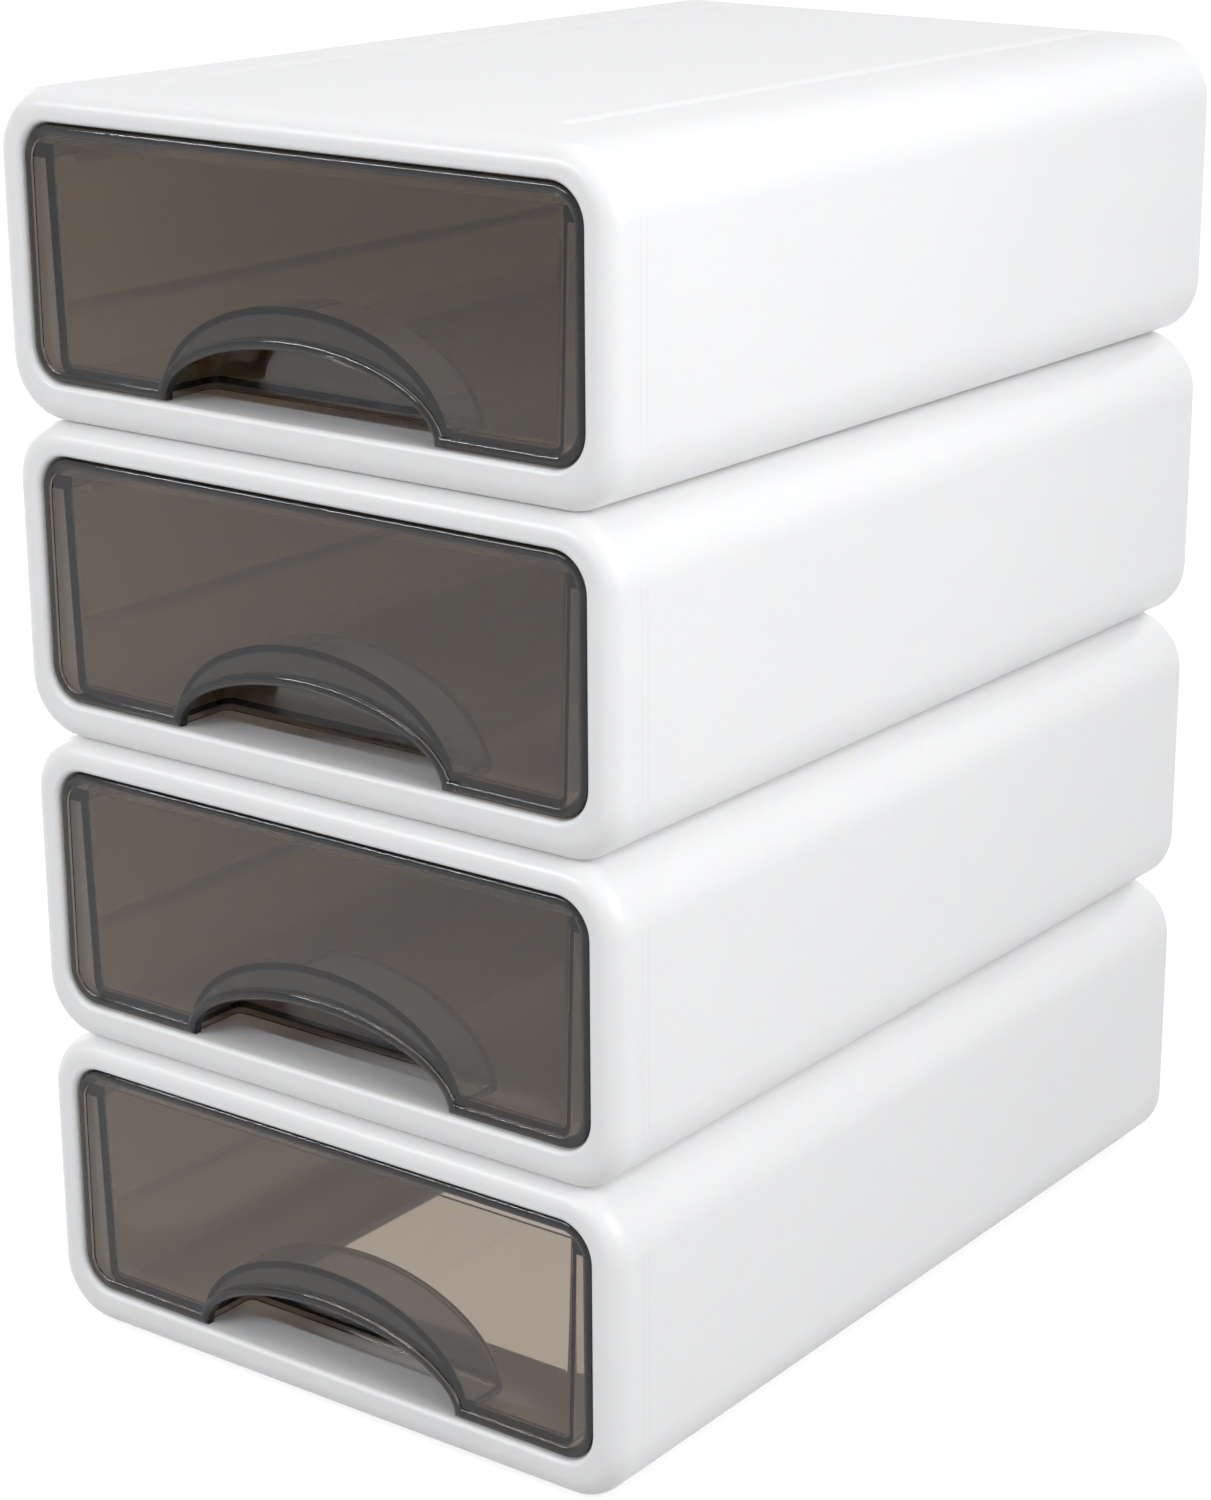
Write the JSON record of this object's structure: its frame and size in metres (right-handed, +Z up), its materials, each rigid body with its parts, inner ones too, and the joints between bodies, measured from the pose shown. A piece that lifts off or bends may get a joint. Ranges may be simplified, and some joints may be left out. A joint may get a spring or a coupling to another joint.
{
  "type": "stackable drawer box",
  "caption": "Stack of white desk drawer boxes with smoky see-through drawers that slide out and boxes that lift off.",
  "frame": {"origin": "On the table at the centre of the footprint of the bottom box.", "axes": "X runs across the fronts, the drawers open towards -Y, Z is up."},
  "size_m": [0.17, 0.246, 0.2967],
  "materials": {
    "white_plastic": "satin white moulded polystyrene",
    "smoky_plastic": "see-through smoke brown, polished"
  },
  "bodies": {
    "box_1": {"housing_1": "white_plastic", "back_panel_1": "white_plastic"},
    "box_2": {"housing_2": "white_plastic", "back_panel_2": "white_plastic"},
    "box_3": {"housing_3": "white_plastic", "back_panel_3": "white_plastic"},
    "box_4": {"housing_4": "white_plastic", "back_panel_4": "white_plastic"},
    "tray_1": {"drawer_1": "smoky_plastic"},
    "tray_2": {"drawer_2": "smoky_plastic"},
    "tray_3": {"drawer_3": "smoky_plastic"},
    "tray_4": {"drawer_4": "smoky_plastic"}
  },
  "joints": [
    {"name": "open_drawer_1", "type": "slide", "parent": "box_1", "child": "tray_1", "axis": [0, -1, 0], "range_m": [0, 0.18]},
    {"name": "open_drawer_2", "type": "slide", "parent": "box_2", "child": "tray_2", "axis": [0, -1, 0], "range_m": [0, 0.18]},
    {"name": "open_drawer_3", "type": "slide", "parent": "box_3", "child": "tray_3", "axis": [0, -1, 0], "range_m": [0, 0.18]},
    {"name": "open_drawer_4", "type": "slide", "parent": "box_4", "child": "tray_4", "axis": [0, -1, 0], "range_m": [0, 0.18]},
    {"name": "lift_box_2", "type": "slide", "parent": "box_1", "child": "box_2", "axis": [0, 0, 1], "range_m": [0, 0.06]},
    {"name": "lift_box_3", "type": "slide", "parent": "box_2", "child": "box_3", "axis": [0, 0, 1], "range_m": [0, 0.06]},
    {"name": "lift_box_4", "type": "slide", "parent": "box_3", "child": "box_4", "axis": [0, 0, 1], "range_m": [0, 0.06]}
  ]
}
